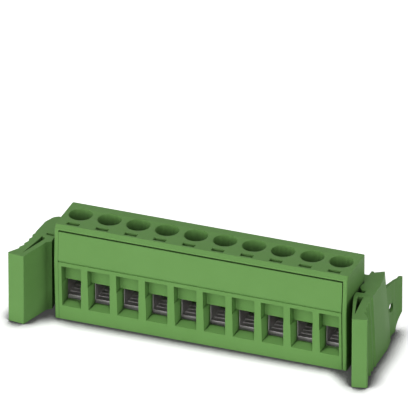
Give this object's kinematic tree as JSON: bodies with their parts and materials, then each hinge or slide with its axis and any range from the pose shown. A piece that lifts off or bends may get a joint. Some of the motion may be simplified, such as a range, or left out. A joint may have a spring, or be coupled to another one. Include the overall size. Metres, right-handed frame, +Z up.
{
  "type": "pluggable terminal block",
  "caption": "Green plug with screw-clamped wire entries in a row, pin sockets in its nose and a squeeze lever at each end.",
  "frame": {"origin": "on the base face, midway along the row and straight below the screw axes", "axes": "+X along the row, +Y towards the mating nose, +Z up towards the screw holes"},
  "size_m": [0.0627, 0.0223, 0.0174],
  "materials": {
    "green_polyamide": "satin moulded",
    "plated_steel": "zinc plated",
    "nickel_plated_brass": "nickel plated",
    "tinned_copper": "tin plated"
  },
  "bodies": {
    "housing": {"housing": "green_polyamide", "front_cover": "green_polyamide", "contact_1": "tinned_copper", "contact_2": "tinned_copper", "contact_3": "tinned_copper", "contact_4": "tinned_copper", "contact_5": "tinned_copper", "contact_6": "tinned_copper", "contact_7": "tinned_copper", "contact_8": "tinned_copper", "contact_9": "tinned_copper", "contact_10": "tinned_copper"},
    "lever_left": {"lever_left": "green_polyamide"},
    "lever_right": {"lever_right": "green_polyamide"},
    "screw_1": {"clamp_screw_1": "plated_steel"},
    "sleeve_1": {"clamp_sleeve_1": "nickel_plated_brass"},
    "screw_2": {"clamp_screw_2": "plated_steel"},
    "sleeve_2": {"clamp_sleeve_2": "nickel_plated_brass"},
    "screw_3": {"clamp_screw_3": "plated_steel"},
    "sleeve_3": {"clamp_sleeve_3": "nickel_plated_brass"},
    "screw_4": {"clamp_screw_4": "plated_steel"},
    "sleeve_4": {"clamp_sleeve_4": "nickel_plated_brass"},
    "screw_5": {"clamp_screw_5": "plated_steel"},
    "sleeve_5": {"clamp_sleeve_5": "nickel_plated_brass"},
    "screw_6": {"clamp_screw_6": "plated_steel"},
    "sleeve_6": {"clamp_sleeve_6": "nickel_plated_brass"},
    "screw_7": {"clamp_screw_7": "plated_steel"},
    "sleeve_7": {"clamp_sleeve_7": "nickel_plated_brass"},
    "screw_8": {"clamp_screw_8": "plated_steel"},
    "sleeve_8": {"clamp_sleeve_8": "nickel_plated_brass"},
    "screw_9": {"clamp_screw_9": "plated_steel"},
    "sleeve_9": {"clamp_sleeve_9": "nickel_plated_brass"},
    "screw_10": {"clamp_screw_10": "plated_steel"},
    "sleeve_10": {"clamp_sleeve_10": "nickel_plated_brass"}
  },
  "joints": [
    {"name": "lever_left_swing", "type": "hinge", "parent": "housing", "child": "lever_left", "pos_m": [-0.02715, 0.0012, 0.0062], "axis": [0, 0, -1], "range_deg": [-8.5, 3.5]},
    {"name": "lever_right_swing", "type": "hinge", "parent": "housing", "child": "lever_right", "pos_m": [0.02715, 0.0012, 0.0062], "axis": [0, 0, 1], "range_deg": [0, 12]},
    {"name": "screw_1_turn", "type": "hinge", "parent": "housing", "child": "screw_1", "pos_m": [-0.02286, 0, 0.0115], "axis": [0, 0, -1], "range_deg": [0, 2016.1]},
    {"name": "sleeve_1_lift", "type": "slide", "parent": "housing", "child": "sleeve_1", "axis": [0, 0, 1], "range_m": [0, 0.0028]},
    {"name": "screw_2_turn", "type": "hinge", "parent": "housing", "child": "screw_2", "pos_m": [-0.01778, 0, 0.0115], "axis": [0, 0, -1], "range_deg": [0, 2016.1]},
    {"name": "sleeve_2_lift", "type": "slide", "parent": "housing", "child": "sleeve_2", "axis": [0, 0, 1], "range_m": [0, 0.0028]},
    {"name": "screw_3_turn", "type": "hinge", "parent": "housing", "child": "screw_3", "pos_m": [-0.0127, 0, 0.0115], "axis": [0, 0, -1], "range_deg": [0, 2016.1]},
    {"name": "sleeve_3_lift", "type": "slide", "parent": "housing", "child": "sleeve_3", "axis": [0, 0, 1], "range_m": [0, 0.0028]},
    {"name": "screw_4_turn", "type": "hinge", "parent": "housing", "child": "screw_4", "pos_m": [-0.00762, 0, 0.0115], "axis": [0, 0, -1], "range_deg": [0, 2016.1]},
    {"name": "sleeve_4_lift", "type": "slide", "parent": "housing", "child": "sleeve_4", "axis": [0, 0, 1], "range_m": [0, 0.0028]},
    {"name": "screw_5_turn", "type": "hinge", "parent": "housing", "child": "screw_5", "pos_m": [-0.00254, 0, 0.0115], "axis": [0, 0, -1], "range_deg": [0, 2016.1]},
    {"name": "sleeve_5_lift", "type": "slide", "parent": "housing", "child": "sleeve_5", "axis": [0, 0, 1], "range_m": [0, 0.0028]},
    {"name": "screw_6_turn", "type": "hinge", "parent": "housing", "child": "screw_6", "pos_m": [0.00254, 0, 0.0115], "axis": [0, 0, -1], "range_deg": [0, 2016.1]},
    {"name": "sleeve_6_lift", "type": "slide", "parent": "housing", "child": "sleeve_6", "axis": [0, 0, 1], "range_m": [0, 0.0028]},
    {"name": "screw_7_turn", "type": "hinge", "parent": "housing", "child": "screw_7", "pos_m": [0.00762, 0, 0.0115], "axis": [0, 0, -1], "range_deg": [0, 2016.1]},
    {"name": "sleeve_7_lift", "type": "slide", "parent": "housing", "child": "sleeve_7", "axis": [0, 0, 1], "range_m": [0, 0.0028]},
    {"name": "screw_8_turn", "type": "hinge", "parent": "housing", "child": "screw_8", "pos_m": [0.0127, 0, 0.0115], "axis": [0, 0, -1], "range_deg": [0, 2016.1]},
    {"name": "sleeve_8_lift", "type": "slide", "parent": "housing", "child": "sleeve_8", "axis": [0, 0, 1], "range_m": [0, 0.0028]},
    {"name": "screw_9_turn", "type": "hinge", "parent": "housing", "child": "screw_9", "pos_m": [0.01778, 0, 0.0115], "axis": [0, 0, -1], "range_deg": [0, 2016.1]},
    {"name": "sleeve_9_lift", "type": "slide", "parent": "housing", "child": "sleeve_9", "axis": [0, 0, 1], "range_m": [0, 0.0028]},
    {"name": "screw_10_turn", "type": "hinge", "parent": "housing", "child": "screw_10", "pos_m": [0.02286, 0, 0.0115], "axis": [0, 0, -1], "range_deg": [0, 2016.1]},
    {"name": "sleeve_10_lift", "type": "slide", "parent": "housing", "child": "sleeve_10", "axis": [0, 0, 1], "range_m": [0, 0.0028]}
  ],
  "couplings": [
    {"joint": "screw_1_turn", "follows": "sleeve_1_lift", "rad_per_m": 12566},
    {"joint": "screw_2_turn", "follows": "sleeve_2_lift", "rad_per_m": 12566},
    {"joint": "screw_3_turn", "follows": "sleeve_3_lift", "rad_per_m": 12566},
    {"joint": "screw_4_turn", "follows": "sleeve_4_lift", "rad_per_m": 12566},
    {"joint": "screw_5_turn", "follows": "sleeve_5_lift", "rad_per_m": 12566},
    {"joint": "screw_6_turn", "follows": "sleeve_6_lift", "rad_per_m": 12566},
    {"joint": "screw_7_turn", "follows": "sleeve_7_lift", "rad_per_m": 12566},
    {"joint": "screw_8_turn", "follows": "sleeve_8_lift", "rad_per_m": 12566},
    {"joint": "screw_9_turn", "follows": "sleeve_9_lift", "rad_per_m": 12566},
    {"joint": "screw_10_turn", "follows": "sleeve_10_lift", "rad_per_m": 12566}
  ]
}
